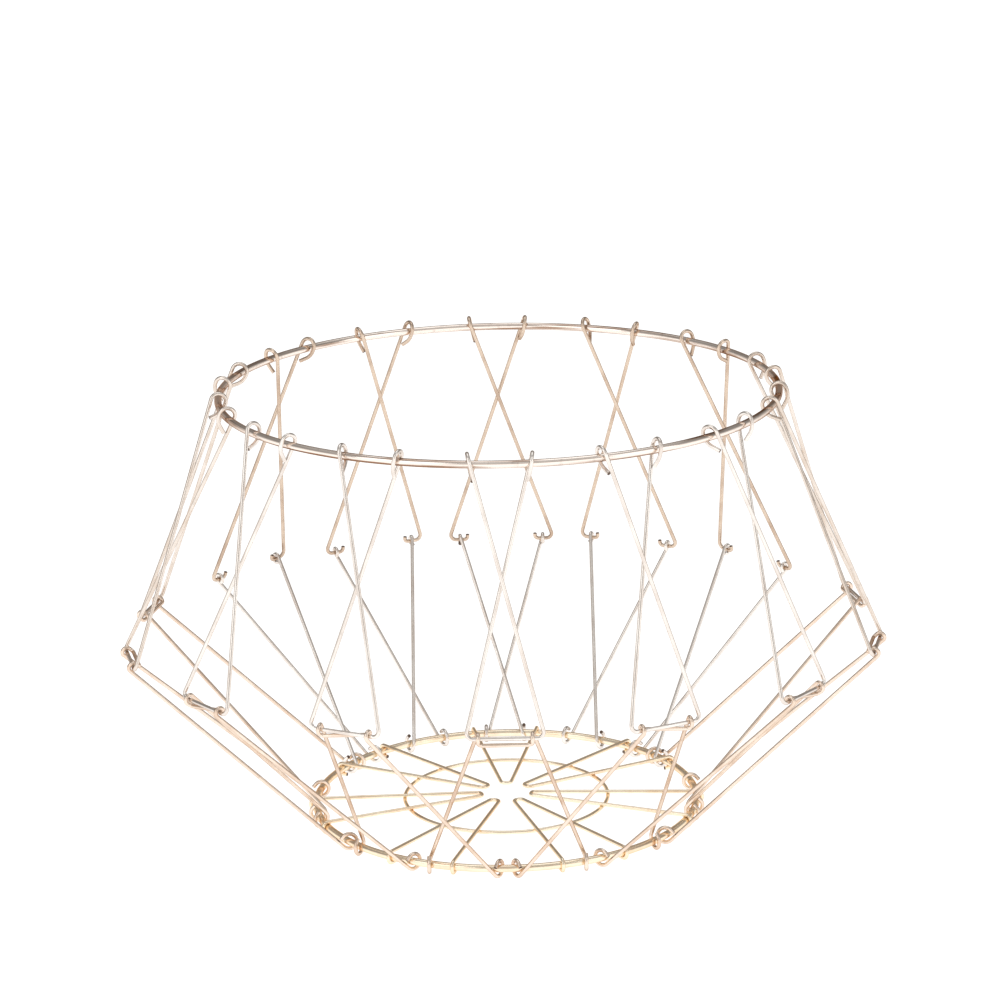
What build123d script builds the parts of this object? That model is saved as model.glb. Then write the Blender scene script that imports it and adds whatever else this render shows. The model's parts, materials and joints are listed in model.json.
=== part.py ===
"""A shape-changing basket of bent copper-plated wire: a top ring, a base ring and two tiers of hooked links.

Frame: millimetres, +Z up, origin on the floor under the middle of the basket. Azimuth 0 is +X.
"""

import os
from math import asin, atan2, cos, degrees, hypot, radians, sin, sqrt

from build123d import *

# Driving dimensions. The basket stands on the eyes that hang under its base ring.
ring_wire = 4.0  # diameter of the top and base rings' wire
thin_wire = 2.1  # diameter of every other wire
top_ring_radius = 150.0  # to the middle of the wire, as are the next two
base_ring_radius = 105.5
inner_ring_radius = 56.4
ring_rise = 233.0  # from the base ring's middle to the top ring's
waist_rise = 100.0  # from the base ring's middle to the waist
waist_at_sides = 206.0  # how far the waist corners stand from the middle, at the two sides,
waist_at_front = 182.0  # at the front (-Y)
waist_at_back = 170.0  # and at the back (+Y)

link_pairs = 14  # upper and lower links round the basket
first_azimuth = 270.0  # the first pair stands at the front
waist_bar = 40.0  # length of an upper link's bar
split_pairs = (6, 7, 8, 9, 10)  # the back pairs, counted from 1: each of their links is two separate legs
split_spread = 62.0  # between the waist corners of a split link's two legs
split_foot_azimuth = 6.0  # each side of a split link's middle; its lower legs cross
stub = 11.0  # what a split upper leg has in place of a bar
stub_tail = 3.2
top_eye_azimuth = 6.2  # each side of its link's middle
foot_azimuth = 23.2  # each side of its link's middle

top_eye_radius = 4.2  # to the middle of the wire, as are the next three
foot_eye_radius = 4.2
waist_hook_radius = 2.4
hook_radius = ring_wire / 2 + thin_wire / 2 + 0.05
top_eye_tail = 9.5  # how far below the middle of an eye its wire ends, beside the leg
top_eye_lift = 1.2  # the ring hangs this far below the middle of an eye
lap = thin_wire + 0.1  # between the middles of two lengths of wire that lie side by side
bend = 3.0  # inside corners of the links
clearance_bend = 0.15  # keeps two bends in a row from meeting

spokes = 7
spoke_spread = 20.0  # degrees between a hairpin spoke's two legs at the base ring
tip_radius = 14.0  # how far a spoke's tip stands from the middle of the basket
tip_width = 5.0
spoke_height = ring_wire / 2 + thin_wire / 2 + 0.05  # above the base ring's middle

base_z = foot_eye_radius + thin_wire / 2
waist_z = base_z + waist_rise
top_z = base_z + ring_rise


def spot(azimuth, out, along, up):
    """A point out from the middle along an azimuth, then along the tangent there, at a height."""
    turn = radians(azimuth)
    return (out * cos(turn) - along * sin(turn), out * sin(turn) + along * cos(turn), up)


def save(piece, name):
    piece.part.label = name
    export_step(piece.part, f"parts/{name}.step")


def bent_wire(name, points, bends):
    """A thin wire of straight runs joined by tangent bends."""
    with BuildPart() as piece:
        with BuildLine() as route:
            FilletPolyline(*points, radius=bends)
        with BuildSketch(Plane(origin=route.line @ 0, z_dir=route.line % 0)):
            Circle(thin_wire / 2)
        sweep()
    save(piece, name)


def ring(name, radius, height, wire):
    """A closed wire ring that lies level."""
    with BuildPart() as piece:
        with BuildSketch(Plane.XZ):
            with Locations((radius, height)):
                Circle(wire / 2)
        revolve(axis=Axis.Z)
    save(piece, name)


def waist_radius(azimuth):
    """The basket is squashed a little front to back, and more at the back than at the front."""
    middle = (waist_at_front + waist_at_back) / 2
    round_part = (waist_at_sides + middle) / 2
    oval_part = (waist_at_sides - middle) / 2
    lean = (waist_at_front - waist_at_back) / 2
    turn = radians(azimuth)
    return round_part + oval_part * cos(2 * turn) - lean * sin(turn)


def is_split(azimuth):
    """Whether the links at an azimuth are of two separate legs."""
    number = round((azimuth - first_azimuth) * link_pairs / 360) % link_pairs + 1
    return number in split_pairs


def corner_along(azimuth):
    """How far a waist corner stands from its link's middle."""
    return (split_spread if is_split(azimuth) else waist_bar) / 2


def waist_out(azimuth):
    """Distance from the middle of the basket to the middle of a link's waist bar."""
    return sqrt(waist_radius(azimuth) ** 2 - corner_along(azimuth) ** 2)


def foot_place(azimuth):
    """A link's feet: the distance out to the line through them, and how far each is along it."""
    spread = radians(split_foot_azimuth if is_split(azimuth) else foot_azimuth)
    return base_ring_radius * cos(spread), base_ring_radius * sin(spread)


def leg_layer(azimuth, foot_side):
    """1 for a lower leg that passes outside the leg it crosses, and -1 for one that passes inside."""
    if is_split(azimuth):
        return -foot_side if cos(radians(azimuth)) < -0.01 else foot_side
    neighbour = azimuth + foot_side * 360 / link_pairs
    return 1 if waist_radius(azimuth) > waist_radius(neighbour) else -1


def upper_link(name, azimuth):
    """Eye, leg, waist bar, leg, eye. The legs cross, one outside the other.

    A split link has no bar: its legs are named for their waist corners, as the lower legs that hook on there are.
    """
    waist = (waist_out(azimuth), waist_z)
    corner = corner_along(azimuth)
    eye_along = top_ring_radius * sin(radians(top_eye_azimuth))
    eye = (top_ring_radius * cos(radians(top_eye_azimuth)), top_z + top_eye_lift)
    length = hypot(eye[0] - waist[0], eye[1] - waist[1])
    rise = ((eye[0] - waist[0]) / length, (eye[1] - waist[1]) / length)
    outward = (rise[1], -rise[0])
    slope = (eye_along + corner) / length

    def near_eye(side, across, up):
        """Beside the eye on one side (1 or -1): a distance outward, and one up along the leg."""
        drift = max(0.0, -up) * slope
        return spot(
            azimuth,
            eye[0] + across * outward[0] + up * rise[0],
            side * (eye_along - drift),
            eye[1] + across * outward[1] + up * rise[1],
        )

    def near_waist(along, up):
        """On the line of the waist bar, or up along the leg from it."""
        return spot(azimuth, waist[0] + up * rise[0], along, waist[1] + up * rise[1])

    r = top_eye_radius
    round_bend = r - clearance_bend
    bends = [2 * r, round_bend, round_bend, bend]
    halves = []
    for side, leg in ((1, -1), (-1, 1)):
        half = [
            near_eye(side, leg * (r * (1 - top_eye_tail / length) - lap), -top_eye_tail),
            near_eye(side, -leg * r, -1.0 * r),
            near_eye(side, -leg * r, r),
            near_eye(side, leg * r, r),
            near_waist(-side * corner, 0),
        ]
        halves.append(half)
        if is_split(azimuth):
            end = [near_waist(-side * (corner - stub), 0), near_waist(-side * (corner - stub), stub_tail)]
            bent_wire(f"{name}{'b' if side == 1 else 'a'}", half + end, bends + [thin_wire])
    if not is_split(azimuth):
        bent_wire(name, halves[0] + halves[1][::-1], bends + bends[::-1])


def lower_link(name, azimuth):
    """Eye, leg, hook, bar, hook, leg, eye. The hooks go over the upper link's waist bar.

    A leg that crosses outside its neighbour's comes up outside the base ring and the bar, and the other inside.
    A split link has no bar: each leg's hook closes under the upper leg's stub.
    """
    waist = (waist_out(azimuth), waist_z)
    foot_out, foot_along = foot_place(azimuth)
    foot = (foot_out, base_z)
    length = hypot(waist[0] - foot[0], waist[1] - foot[1])
    rise = ((waist[0] - foot[0]) / length, (waist[1] - foot[1]) / length)
    outward = (rise[1], -rise[0])
    hook_along = corner_along(azimuth) - bend - waist_hook_radius - thin_wire / 2

    def beside(centre, along, across, up):
        """Near a hinge line: a distance outward from it, and one up along the leg."""
        out = centre[0] + across * outward[0] + up * rise[0]
        return spot(azimuth, out, along, centre[1] + across * outward[1] + up * rise[1])

    r = foot_eye_radius
    h = waist_hook_radius
    round_bend = r - clearance_bend
    tight_bend = h - clearance_bend
    bends = [round_bend, round_bend, round_bend, tight_bend, tight_bend, tight_bend]
    halves = []
    for side in (1, -1):
        foot_side = -side if is_split(azimuth) else side
        leg = leg_layer(azimuth, foot_side)
        half = [
            beside(foot, foot_side * foot_along, leg * (r - lap), r),
            beside(foot, foot_side * foot_along, -leg * r, r),
            beside(foot, foot_side * foot_along, -leg * r, -r),
            beside(foot, foot_side * foot_along, leg * r, -r),
            beside(waist, side * hook_along, leg * h, h),
            beside(waist, side * hook_along, -leg * h, h),
            beside(waist, side * hook_along, -leg * h, -h),
        ]
        halves.append(half)
        if is_split(azimuth):
            end = [beside(waist, side * hook_along, leg * (h - lap), -h)]
            bent_wire(f"{name}{'a' if side == 1 else 'b'}", half + end, bends)
    if not is_split(azimuth):
        bent_wire(name, halves[0] + halves[1][::-1], bends + bends[::-1])


def spoke(name, azimuth):
    """A hairpin that lies across the base: hook, leg, tip, leg, hook."""
    hook_along = base_ring_radius * sin(radians(spoke_spread / 2))
    hook_out = base_ring_radius * cos(radians(spoke_spread / 2))
    leg = hypot(hook_out - tip_radius, hook_along - tip_width / 2)
    ahead = ((hook_out - tip_radius) / leg, (hook_along - tip_width / 2) / leg)

    def at_hook(side, past, up):
        """Beside the base ring: a distance past its middle along the leg, and a height."""
        return spot(azimuth, hook_out + past * ahead[0], side * (hook_along + past * ahead[1]), base_z + up)

    r = hook_radius
    points = []
    for side in (1, -1):
        half = [
            at_hook(side, -0.8 * r, -r),
            at_hook(side, r, -r),
            at_hook(side, r, r),
            spot(azimuth, tip_radius, side * tip_width / 2, base_z + spoke_height),
        ]
        points += half if side == 1 else half[::-1]
    round_bend = r - clearance_bend
    bends = [round_bend, round_bend, tip_width / 2 - clearance_bend]
    bent_wire(name, points, bends + bends[::-1])


def main():
    os.makedirs("parts", exist_ok=True)
    ring("top_ring", top_ring_radius, top_z, ring_wire)
    ring("base_ring", base_ring_radius, base_z, ring_wire)
    ring("inner_ring", inner_ring_radius, base_z + spoke_height - thin_wire - 0.03, thin_wire)
    for number in range(link_pairs):
        azimuth = first_azimuth + number * 360 / link_pairs
        piece = "leg" if is_split(azimuth) else "link"
        upper_link(f"upper_{piece}_{number + 1:02d}", azimuth)
        lower_link(f"lower_{piece}_{number + 1:02d}", azimuth)
    for number in range(spokes):
        middle = first_azimuth + (2 * number + 1) * 360 / link_pairs
        spoke(f"base_spoke_{number + 1}", middle)


main()
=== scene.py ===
"""Looks for the wire basket: bright copper plating, a plain pale floor and soft studio light."""

import json
import math

import bpy
from mathutils import Matrix, Vector


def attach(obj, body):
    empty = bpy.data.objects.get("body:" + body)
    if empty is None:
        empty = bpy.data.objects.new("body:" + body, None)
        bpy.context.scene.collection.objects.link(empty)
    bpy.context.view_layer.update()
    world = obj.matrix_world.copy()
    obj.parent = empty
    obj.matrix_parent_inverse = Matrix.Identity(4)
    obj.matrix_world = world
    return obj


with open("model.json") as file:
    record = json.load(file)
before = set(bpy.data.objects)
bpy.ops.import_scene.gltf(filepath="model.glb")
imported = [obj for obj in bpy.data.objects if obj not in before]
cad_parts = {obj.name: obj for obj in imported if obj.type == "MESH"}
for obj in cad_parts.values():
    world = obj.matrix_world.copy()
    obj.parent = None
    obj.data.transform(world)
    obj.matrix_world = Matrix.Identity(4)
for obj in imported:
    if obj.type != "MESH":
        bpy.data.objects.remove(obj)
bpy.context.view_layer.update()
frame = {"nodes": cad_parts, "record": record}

thin_wire_radius = 0.00105  # of every wire but the top and base rings


def add(tree, kind, place, **values):
    """A new node at a place in a tree's editor.

    Each value goes to the input of that name, or where there is none, to the setting.
    """
    node = tree.nodes.new(kind)
    node.location = place
    for key, value in values.items():
        if key in node.inputs:
            node.inputs[key].default_value = value
        else:
            setattr(node, key, value)
    return node


# Plating -----------------------------------------------------------------------------------------

worn_shade = 0.62  # a worn patch against the plating's deep colour
most_wear = 0.3  # how far the worst patch goes toward that shade
roughness_spread = 0.10  # from the brightest to the dullest place


def plated_wire(name, pale, deep, edge, roughness, patch=(55, 55, 55), span=(0.34, 0.58)):
    """Bright plating on drawn wire: soft changes of colour along it, dull patches, and fine drawing marks.

    edge is the tint of the reflection where the surface turns away. patch is how often the colour changes
    along X, Y and Z, per metre, and span is where in the noise it is deep and where it is pale.
    """
    material = bpy.data.materials.new(name)
    material.use_nodes = True
    tree = material.node_tree
    link = tree.links.new
    shader = tree.nodes["Principled BSDF"]
    shader.inputs["Metallic"].default_value = 1.0
    shader.inputs["Specular Tint"].default_value = (*edge, 1)
    where = add(tree, "ShaderNodeTexCoord", (-1100, 0))

    stretch = add(tree, "ShaderNodeMapping", (-1000, 250), Scale=patch)
    link(where.outputs["Object"], stretch.inputs["Vector"])
    cloud = add(tree, "ShaderNodeTexNoise", (-850, 250), Scale=1.0, Detail=3.0, Roughness=0.55)
    link(stretch.outputs["Vector"], cloud.inputs["Vector"])
    tone = add(tree, "ShaderNodeValToRGB", (-600, 250))
    tone.color_ramp.elements[0].position = span[0]
    tone.color_ramp.elements[0].color = (*deep, 1)
    tone.color_ramp.elements[1].position = span[1]
    tone.color_ramp.elements[1].color = (*pale, 1)
    link(cloud.outputs["Fac"], tone.inputs["Fac"])

    spots = add(tree, "ShaderNodeTexNoise", (-850, -50), Scale=260.0, Detail=2.0, Roughness=0.5)
    link(where.outputs["Object"], spots.inputs["Vector"])
    worn = add(tree, "ShaderNodeMapRange", (-600, -50))
    worn.inputs["From Min"].default_value = 0.60
    worn.inputs["From Max"].default_value = 0.80
    worn.inputs["To Max"].default_value = most_wear
    link(spots.outputs["Fac"], worn.inputs["Value"])
    mix = add(tree, "ShaderNodeMix", (-330, 250), data_type="RGBA")
    colour_in, dull_in = [s for s in mix.inputs if s.type == "RGBA"]
    dull_in.default_value = (*[worn_shade * c for c in deep], 1)
    colour_out = [s for s in mix.outputs if s.type == "RGBA"][0]
    link(worn.outputs["Result"], mix.inputs[0])
    link(tone.outputs["Color"], colour_in)
    link(colour_out, shader.inputs["Base Color"])

    rough = add(tree, "ShaderNodeMapRange", (-330, -50))
    rough.inputs["To Min"].default_value = roughness
    rough.inputs["To Max"].default_value = roughness + roughness_spread
    link(spots.outputs["Fac"], rough.inputs["Value"])
    link(rough.outputs["Result"], shader.inputs["Roughness"])

    marks = add(tree, "ShaderNodeTexNoise", (-850, -350), Scale=900.0, Detail=1.0)
    link(where.outputs["Object"], marks.inputs["Vector"])
    bump = add(tree, "ShaderNodeBump", (-330, -350), Strength=0.06, Distance=0.0001)
    link(marks.outputs["Fac"], bump.inputs["Height"])
    link(bump.outputs["Normal"], shader.inputs["Normal"])
    return material


# The top ring's deep and pale colours, drawn out into thin bands along the ring, are painted reflection: dark
# brown streaks and near-white bands where the ring mirrors dark and bright surroundings.
ring_plating_painted_streaks = plated_wire(
    "ring_plating_painted_streaks",
    pale=(1.0, 0.90, 0.82),
    deep=(0.34, 0.20, 0.13),
    edge=(0.40, 0.29, 0.23),
    roughness=0.08,
    patch=(12, 12, 420),
    span=(0.36, 0.50),
)
# Pale, link, peach and tan are one plating in copies of different brightness. Each is a painted reflection of
# the light a wire catches from where it stands.
pale_plating_painted_reflection = plated_wire("pale_plating_painted_reflection", (0.93, 0.88, 0.83), (0.80, 0.72, 0.66), (0.46, 0.40, 0.36), 0.16)
link_plating_painted_reflection = plated_wire("link_plating_painted_reflection", (0.86, 0.78, 0.71), (0.73, 0.62, 0.53), (0.42, 0.35, 0.31), 0.18)
peach_plating_painted_reflection = plated_wire("peach_plating_painted_reflection", (0.93, 0.79, 0.67), (0.80, 0.62, 0.49), (0.45, 0.34, 0.27), 0.18)
tan_plating_painted_reflection = plated_wire("tan_plating_painted_reflection", (0.76, 0.62, 0.50), (0.58, 0.44, 0.34), (0.40, 0.30, 0.24), 0.20)
base_plating = plated_wire("base_plating", (1.0, 0.88, 0.69), (0.95, 0.74, 0.53), (0.80, 0.63, 0.47), 0.16)

# The upper links that take the pale painted reflection.
front_upper_links = [f"upper_link_{number:02d}" for number in (1, 2, 3, 13, 14)]


def plating_and_painted_reflection_of(name):
    """The plating of a node.

    Among the upper wires, the links at the front are pale, those at the sides darker and the legs at the back
    tan.
    Among the lower wires, the links are peach and the legs at the back pale. These tones are painted
    reflection:
    one plating in lighter and darker copies, set by where a wire stands.
    """
    if name == "top_ring":
        return ring_plating_painted_streaks
    if not name.startswith(("upper", "lower")):
        return base_plating
    at_back = "_leg_" in name
    if name.startswith("lower"):
        return pale_plating_painted_reflection if at_back else peach_plating_painted_reflection
    if at_back:
        return tan_plating_painted_reflection
    return pale_plating_painted_reflection if name in front_upper_links else link_plating_painted_reflection


for name, node in frame["nodes"].items():
    for place in node.material_slots:
        place.material = plating_and_painted_reflection_of(name)


# Cut ends ----------------------------------------------------------------------------------------

same_plane = 0.9998  # least dot product of two normals in one flat patch
least_area = 0.85  # a cut end's area, against the wire's round section
most_area = 1.1
farthest_corner = 1.3  # from the end's middle, in wire radii
plug_rows = ((-0.0004, 0.97), (0.00004, 0.97), (0.0001, 0.7))  # height over the end, size in wire radii
plug_sides = 16


def sheared_steel():
    """Bare steel, darkened and rough, where a wire was cut."""
    material = bpy.data.materials.new("cut_end")
    material.use_nodes = True
    tree = material.node_tree
    shader = tree.nodes["Principled BSDF"]
    shader.inputs["Metallic"].default_value = 0.7
    shader.inputs["Roughness"].default_value = 0.6
    where = add(tree, "ShaderNodeTexCoord", (-700, 0))
    shear = add(tree, "ShaderNodeTexNoise", (-500, 0), Scale=1800.0, Detail=2.0)
    tree.links.new(where.outputs["Object"], shear.inputs["Vector"])
    steel = add(tree, "ShaderNodeValToRGB", (-280, 0))
    steel.color_ramp.elements[0].color = (0.09, 0.06, 0.045, 1)
    steel.color_ramp.elements[1].color = (0.26, 0.18, 0.14, 1)
    tree.links.new(shear.outputs["Fac"], steel.inputs["Fac"])
    tree.links.new(steel.outputs["Color"], shader.inputs["Base Color"])
    return material


def touching_faces(mesh):
    """For each face of a mesh, the faces that share an edge with it, itself among them.

    Edges are matched by where they are, because neighbouring faces don't always share their vertices.
    """
    beside = {}
    for face in mesh.polygons:
        for edge in face.edge_keys:
            ends = tuple(sorted(tuple(round(c, 7) for c in mesh.vertices[i].co) for i in edge))
            beside.setdefault(ends, []).append(face.index)
    neighbours = {}
    for shared in beside.values():
        for index in shared:
            neighbours.setdefault(index, set()).update(shared)
    return neighbours


def flat_patches(mesh):
    """Each group of touching faces that are level with the group's first face."""
    neighbours = touching_faces(mesh)
    seen = set()
    for face in mesh.polygons:
        if face.index in seen:
            continue
        patch = []
        waiting = [face.index]
        seen.add(face.index)
        while waiting:
            index = waiting.pop()
            patch.append(mesh.polygons[index])
            for other in neighbours[index] - seen:
                if mesh.polygons[other].normal.dot(face.normal) > same_plane:
                    seen.add(other)
                    waiting.append(other)
        yield patch


def flat_ends(node):
    """Middle and outward normal of each flat round end of the thin wire in a node."""
    section = math.pi * thin_wire_radius ** 2
    found = []
    for patch in flat_patches(node.data):
        area = sum(face.area for face in patch)
        if not least_area * section < area < most_area * section:
            continue
        points = [node.data.vertices[v].co for face in patch for v in face.vertices]
        middle = sum(points, Vector()) / len(points)
        if max((point - middle).length for point in points) < farthest_corner * thin_wire_radius:
            low = Vector([min(p[k] for p in points) for k in range(3)])
            high = Vector([max(p[k] for p in points) for k in range(3)])
            normal = max(patch, key=lambda face: face.area).normal
            outward = (node.matrix_world.to_3x3() @ normal).normalized()
            found.append((node.matrix_world @ ((low + high) / 2), outward))
    return found


def cut_ends(body, nodes, material):
    """One piece for a body: a short dark plug, a little rounded, in each end of its thin wires.

    Returns the number of plugs.
    """
    points = []
    faces = []
    plugs = 0
    for name in nodes:
        for middle, normal in flat_ends(frame["nodes"][name]):
            across = normal.orthogonal().normalized()
            other = normal.cross(across)
            first = len(points)
            for out, size in plug_rows:
                for step in range(plug_sides):
                    angle = step * math.tau / plug_sides
                    radial = math.cos(angle) * across + math.sin(angle) * other
                    points.append(middle + out * normal + size * thin_wire_radius * radial)
            last_row = len(points) - plug_sides
            faces.append(list(range(first + plug_sides - 1, first - 1, -1)))
            for row in range(first, last_row, plug_sides):
                above = row + plug_sides
                for step in range(plug_sides):
                    right = (step + 1) % plug_sides
                    faces.append([row + step, row + right, above + right, above + step])
            faces.append(list(range(last_row, len(points))))
            plugs += 1
    if plugs:
        mesh = bpy.data.meshes.new(f"cut_ends_{body}")
        mesh.from_pydata(points, [], faces)
        mesh.materials.append(material)
        piece = bpy.data.objects.new(f"cut_ends_{body}", mesh)
        bpy.context.scene.collection.objects.link(piece)
        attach(piece, body)
    return plugs


steel_end = sheared_steel()
bodies = frame["record"]["behaviour"]["bodies"]
print("cut ends:", sum(cut_ends(body, nodes, steel_end) for body, nodes in bodies.items()))


# Floor -------------------------------------------------------------------------------------------

floor_radius = 9.0
paper_glow = 0.93  # the paper's own light, which keeps the ground nearly white and its shadows faint


def white_paper():
    """Matt white paper with a faint unevenness."""
    material = bpy.data.materials.new("white_paper")
    material.use_nodes = True
    tree = material.node_tree
    shader = tree.nodes["Principled BSDF"]
    shader.inputs["Roughness"].default_value = 0.9
    shader.inputs["Specular IOR Level"].default_value = 0.0
    where = add(tree, "ShaderNodeTexCoord", (-900, 0))
    fibre = add(tree, "ShaderNodeTexNoise", (-700, 0), Scale=40.0, Detail=4.0)
    tree.links.new(where.outputs["Object"], fibre.inputs["Vector"])
    tint = add(tree, "ShaderNodeValToRGB", (-450, 0))
    tint.color_ramp.elements[0].color = (0.36, 0.36, 0.36, 1)
    tint.color_ramp.elements[1].color = (0.42, 0.42, 0.42, 1)
    tree.links.new(fibre.outputs["Fac"], tint.inputs["Fac"])
    tree.links.new(tint.outputs["Color"], shader.inputs["Base Color"])
    shader.inputs["Emission Color"].default_value = (1, 1, 1, 1)
    shader.inputs["Emission Strength"].default_value = paper_glow
    return material


bpy.ops.mesh.primitive_circle_add(vertices=96, radius=floor_radius, fill_type="NGON", location=(0, 0, 0))
floor = bpy.context.object
floor.name = "floor"
floor.data.materials.append(white_paper())


# Studio light ------------------------------------------------------------------------------------

# Brightness of the sky at places from the horizon, 0, to straight up, 1.
sky_stops = ((0.08, 1.0), (0.22, 0.75), (0.36, 0.38), (0.60, 0.38), (0.75, 0.6))
sky_tint = (1.0, 0.97, 0.94)  # a little warm
front_strength = 1.25
back_strength = 0.70
light_aim = (0, 0, 0.12)  # about half way up the basket


def studio_world():
    """A world that is white near the horizon, darkest from a third to two thirds of the way up, and stronger
    in front than behind.
    """
    world = bpy.data.worlds.new("studio")
    bpy.context.scene.world = world
    world.use_nodes = True
    tree = world.node_tree
    background = tree.nodes["Background"]
    where = add(tree, "ShaderNodeTexCoord", (-1200, 0))
    split = add(tree, "ShaderNodeSeparateXYZ", (-1000, 0))
    tree.links.new(where.outputs["Generated"], split.inputs["Vector"])
    height = add(tree, "ShaderNodeValToRGB", (-750, 100))
    ramp = height.color_ramp
    ramp.elements[0].position = 0.0
    ramp.elements[0].color = (1.0, 1.0, 1.0, 1)
    ramp.elements[1].position = 1.0
    ramp.elements[1].color = (0.5, 0.5, 0.5, 1)
    for position, value in sky_stops:
        stop = ramp.elements.new(position)
        stop.color = (*[value * c for c in sky_tint], 1)
    tree.links.new(split.outputs["Z"], height.inputs["Fac"])
    tree.links.new(height.outputs["Color"], background.inputs["Color"])
    side = add(tree, "ShaderNodeMapRange", (-750, -200))
    side.inputs["From Min"].default_value = -0.9
    side.inputs["From Max"].default_value = 0.2
    side.inputs["To Min"].default_value = front_strength
    side.inputs["To Max"].default_value = back_strength
    tree.links.new(split.outputs["Y"], side.inputs["Value"])
    tree.links.new(side.outputs["Result"], background.inputs["Strength"])


def softbox(name, place, width, tall, power):
    """A rectangular light that faces the basket."""
    data = bpy.data.lights.new(name, "AREA")
    data.shape = "RECTANGLE"
    data.size = width
    data.size_y = tall
    data.energy = power
    lamp = bpy.data.objects.new(name, data)
    bpy.context.scene.collection.objects.link(lamp)
    lamp.location = place
    lamp.rotation_euler = (Vector(light_aim) - Vector(place)).to_track_quat("-Z", "Y").to_euler()


studio_world()
softbox("key_light", (-1.6, -1.8, 1.6), 1.6, 1.6, 9)
softbox("fill_light", (2.0, -1.2, 1.2), 1.2, 1.6, 5)
softbox("top_light", (0, 0.6, 2.6), 2.0, 2.0, 10)


# Camera: the photograph's view -------------------------------------------------------------------

elevation = math.radians(17.585)
roll = math.radians(-1.14)
distance = 1.891
aim = Vector((0, 0, 0.1218))

camera_data = bpy.data.cameras.new("camera")
camera_data.sensor_width = 36.0
camera_data.lens = 124.7
camera_data.shift_x = -0.0025
camera_data.shift_y = 0.0972
camera = bpy.data.objects.new("camera", camera_data)
bpy.context.scene.collection.objects.link(camera)
away = Vector((0, -math.cos(elevation), math.sin(elevation)))
turn = (-away).to_track_quat("-Z", "Y").to_matrix().to_4x4() @ Matrix.Rotation(roll, 4, "Z")
camera.matrix_world = Matrix.Translation(aim + away * distance) @ turn
bpy.context.scene.camera = camera
bpy.context.scene.view_settings.view_transform = "Standard"
